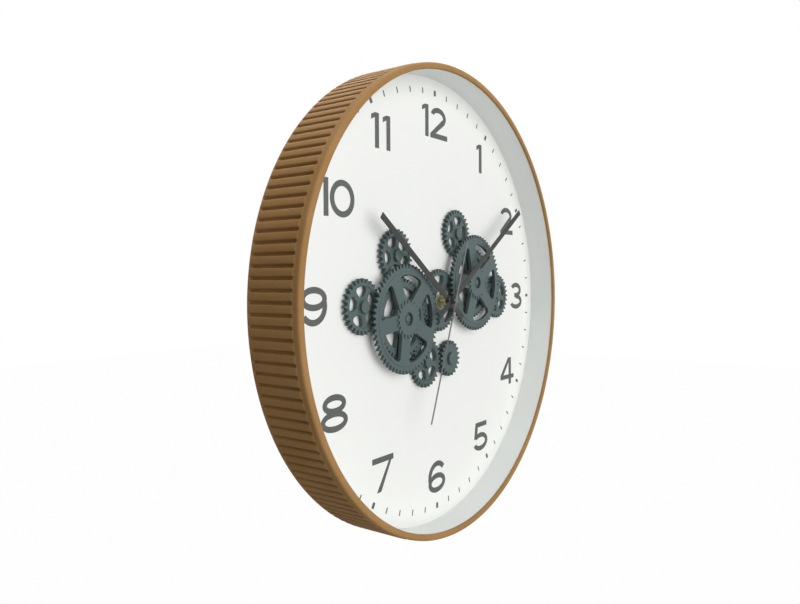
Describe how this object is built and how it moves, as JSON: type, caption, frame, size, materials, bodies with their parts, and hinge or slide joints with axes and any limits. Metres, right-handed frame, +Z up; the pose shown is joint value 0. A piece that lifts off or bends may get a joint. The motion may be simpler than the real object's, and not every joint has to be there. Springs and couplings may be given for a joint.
{
  "type": "gear wall clock",
  "caption": "Round wall clock with a fluted ring, a white numbered dial, straight hands and a train of large meshing gears turning in front of the dial.",
  "frame": {"origin": "centre of the hanger's keyhole entry, on the wall plane behind the clock", "axes": "-Y towards the viewer in front of the clock, +X to the viewer's right, +Z up"},
  "size_m": [0.4, 0.049, 0.4],
  "materials": {
    "case_finish": "matte caramel paint on a moulded ring",
    "flange_finish": "matte off-white",
    "dial_finish": "matte white",
    "print": "matte grey print",
    "gear_finish": "satin dark petrol grey",
    "hand_finish": "matte dark grey paint",
    "seconds_finish": "satin mid grey paint",
    "brass": "turned brass",
    "steel": "bright zinc-plated steel",
    "black_plastic": "matte black",
    "white_plastic": "moulded white plastic",
    "rubber": "matte black rubber",
    "battery": "plain printed can",
    "contact_metal": "nickel-plated spring steel",
    "board": "green board",
    "copper": "lacquered copper wire",
    "magnet": "sintered magnet",
    "block_plastic": "moulded white plastic"
  },
  "bodies": {
    "clock_case": {"case_ring": "case_finish", "inner_flange": "flange_finish", "dial_panel": "dial_finish", "printed_numerals": "print", "printed_minute_track": "print", "retaining_ring": "black_plastic", "retaining_screws": "steel", "hanger_block": "block_plastic", "hanger_plate": "steel", "hanger_screws": "steel", "big_wheel_posts": "steel", "big_wheel_caps": "gear_finish", "small_gear_posts": "steel", "small_gear_caps": "gear_finish", "post_nuts": "steel", "threaded_bush": "brass", "idler_sleeve": "white_plastic", "bush_washer": "steel", "bush_nut": "brass", "movement_gasket": "rubber", "movement_case": "black_plastic", "movement_cover": "black_plastic", "movement_battery": "battery", "battery_contacts": "contact_metal", "circuit_board": "board", "stator_coil": "copper", "motor_case": "black_plastic", "motor_cover": "black_plastic", "motor_can": "steel", "motor_battery": "battery", "motor_screws": "steel"},
    "seconds": {"seconds_hand": "seconds_finish", "seconds_wheel": "white_plastic"},
    "minute": {"minute_hand": "hand_finish", "minute_wheel": "white_plastic"},
    "hour": {"hour_hand": "hand_finish", "hour_wheel": "white_plastic"},
    "third_wheel_body": {"third_wheel": "white_plastic"},
    "motion": {"motion_wheel": "white_plastic", "set_knob": "black_plastic"},
    "intermediate": {"intermediate_wheel": "white_plastic"},
    "rotor": {"stepper_rotor": "magnet"},
    "left_wheels": {"left_inner_wheel": "gear_finish", "left_big_wheel": "gear_finish", "left_front_pinion": "gear_finish"},
    "right_wheels": {"right_inner_wheel": "gear_finish", "right_big_wheel": "gear_finish", "right_front_pinion": "gear_finish"},
    "centre_gear_body": {"centre_gear": "gear_finish"},
    "gear_upper_left_body": {"gear_upper_left": "gear_finish"},
    "gear_left_body": {"gear_left": "gear_finish"},
    "gear_bottom_body": {"gear_bottom": "gear_finish"},
    "gear_upper_right_body": {"gear_upper_right": "gear_finish"},
    "gear_right_body": {"gear_right": "gear_finish"},
    "drive": {"output_shaft": "steel", "drive_pinion": "gear_finish", "drive_pinion_cap": "gear_finish"},
    "reduction": {"reduction_gear": "white_plastic"},
    "motor_shaft": {"motor_pinion": "brass"}
  },
  "joints": [
    {"name": "seconds_turn", "type": "hinge", "parent": "clock_case", "child": "seconds", "pos_m": [0, -0.022, -0.168], "axis": [0, 1, 0], "continuous": true},
    {"name": "minute_turn", "type": "hinge", "parent": "clock_case", "child": "minute", "pos_m": [0, -0.022, -0.168], "axis": [0, 1, 0], "continuous": true},
    {"name": "hour_turn", "type": "hinge", "parent": "clock_case", "child": "hour", "pos_m": [0, -0.022, -0.168], "axis": [0, 1, 0], "continuous": true},
    {"name": "third_wheel_turn", "type": "hinge", "parent": "clock_case", "child": "third_wheel_body", "pos_m": [0, -0.022, -0.15882], "axis": [0, 1, 0], "continuous": true},
    {"name": "motion_turn", "type": "hinge", "parent": "clock_case", "child": "motion", "pos_m": [0.0099, -0.022, -0.168], "axis": [0, 1, 0], "continuous": true},
    {"name": "intermediate_turn", "type": "hinge", "parent": "clock_case", "child": "intermediate", "pos_m": [-0.0096, -0.022, -0.168], "axis": [0, 1, 0], "continuous": true},
    {"name": "rotor_turn", "type": "hinge", "parent": "clock_case", "child": "rotor", "pos_m": [-0.01554, -0.022, -0.16206], "axis": [0, 1, 0], "continuous": true},
    {"name": "left_wheels_turn", "type": "hinge", "parent": "clock_case", "child": "left_wheels", "pos_m": [-0.05635, -0.022, -0.18174], "axis": [0, 1, 0], "continuous": true},
    {"name": "gear_upper_left_turn", "type": "hinge", "parent": "clock_case", "child": "gear_upper_left_body", "pos_m": [-0.06416, -0.022, -0.13012], "axis": [0, 1, 0], "continuous": true},
    {"name": "gear_left_turn", "type": "hinge", "parent": "clock_case", "child": "gear_left_body", "pos_m": [-0.10721, -0.022, -0.16999], "axis": [0, 1, 0], "continuous": true},
    {"name": "gear_bottom_turn", "type": "hinge", "parent": "clock_case", "child": "gear_bottom_body", "pos_m": [-0.02176, -0.022, -0.22083], "axis": [0, 1, 0], "continuous": true},
    {"name": "centre_gear_turn", "type": "hinge", "parent": "clock_case", "child": "centre_gear_body", "pos_m": [0, -0.022, -0.168], "axis": [0, 1, 0], "continuous": true},
    {"name": "right_wheels_turn", "type": "hinge", "parent": "clock_case", "child": "right_wheels", "pos_m": [0.05602, -0.022, -0.15299], "axis": [0, 1, 0], "continuous": true},
    {"name": "gear_upper_right_turn", "type": "hinge", "parent": "clock_case", "child": "gear_upper_right_body", "pos_m": [0.02977, -0.022, -0.10787], "axis": [0, 1, 0], "continuous": true},
    {"name": "gear_right_turn", "type": "hinge", "parent": "clock_case", "child": "gear_right_body", "pos_m": [0.10628, -0.022, -0.16711], "axis": [0, 1, 0], "continuous": true},
    {"name": "drive_turn", "type": "hinge", "parent": "clock_case", "child": "drive", "pos_m": [0.01304, -0.022, -0.22053], "axis": [0, 1, 0], "continuous": true},
    {"name": "reduction_turn", "type": "hinge", "parent": "clock_case", "child": "reduction", "pos_m": [0.02804, -0.022, -0.22053], "axis": [0, 1, 0], "continuous": true},
    {"name": "motor_turn", "type": "hinge", "parent": "clock_case", "child": "motor_shaft", "pos_m": [0.03864, -0.022, -0.23114], "axis": [0, 1, 0], "continuous": true}
  ],
  "couplings": [
    {"joint": "minute_turn", "follows": "seconds_turn", "ratio": 0.016667},
    {"joint": "hour_turn", "follows": "seconds_turn", "ratio": 0.0013889},
    {"joint": "third_wheel_turn", "follows": "seconds_turn", "ratio": -0.13333},
    {"joint": "motion_turn", "follows": "seconds_turn", "ratio": -0.0055556},
    {"joint": "intermediate_turn", "follows": "seconds_turn", "ratio": -5},
    {"joint": "rotor_turn", "follows": "seconds_turn", "ratio": 30},
    {"joint": "gear_upper_left_turn", "follows": "left_wheels_turn", "ratio": -1.5714},
    {"joint": "gear_left_turn", "follows": "left_wheels_turn", "ratio": -1.5714},
    {"joint": "gear_bottom_turn", "follows": "left_wheels_turn", "ratio": -1.5714},
    {"joint": "centre_gear_turn", "follows": "left_wheels_turn", "ratio": -1.2222},
    {"joint": "right_wheels_turn", "follows": "left_wheels_turn", "ratio": 1},
    {"joint": "gear_upper_right_turn", "follows": "left_wheels_turn", "ratio": -1.5714},
    {"joint": "gear_right_turn", "follows": "left_wheels_turn", "ratio": -1.5714},
    {"joint": "drive_turn", "follows": "left_wheels_turn", "ratio": 2.2},
    {"joint": "reduction_turn", "follows": "left_wheels_turn", "ratio": -8.8},
    {"joint": "motor_turn", "follows": "left_wheels_turn", "ratio": 35.2}
  ]
}
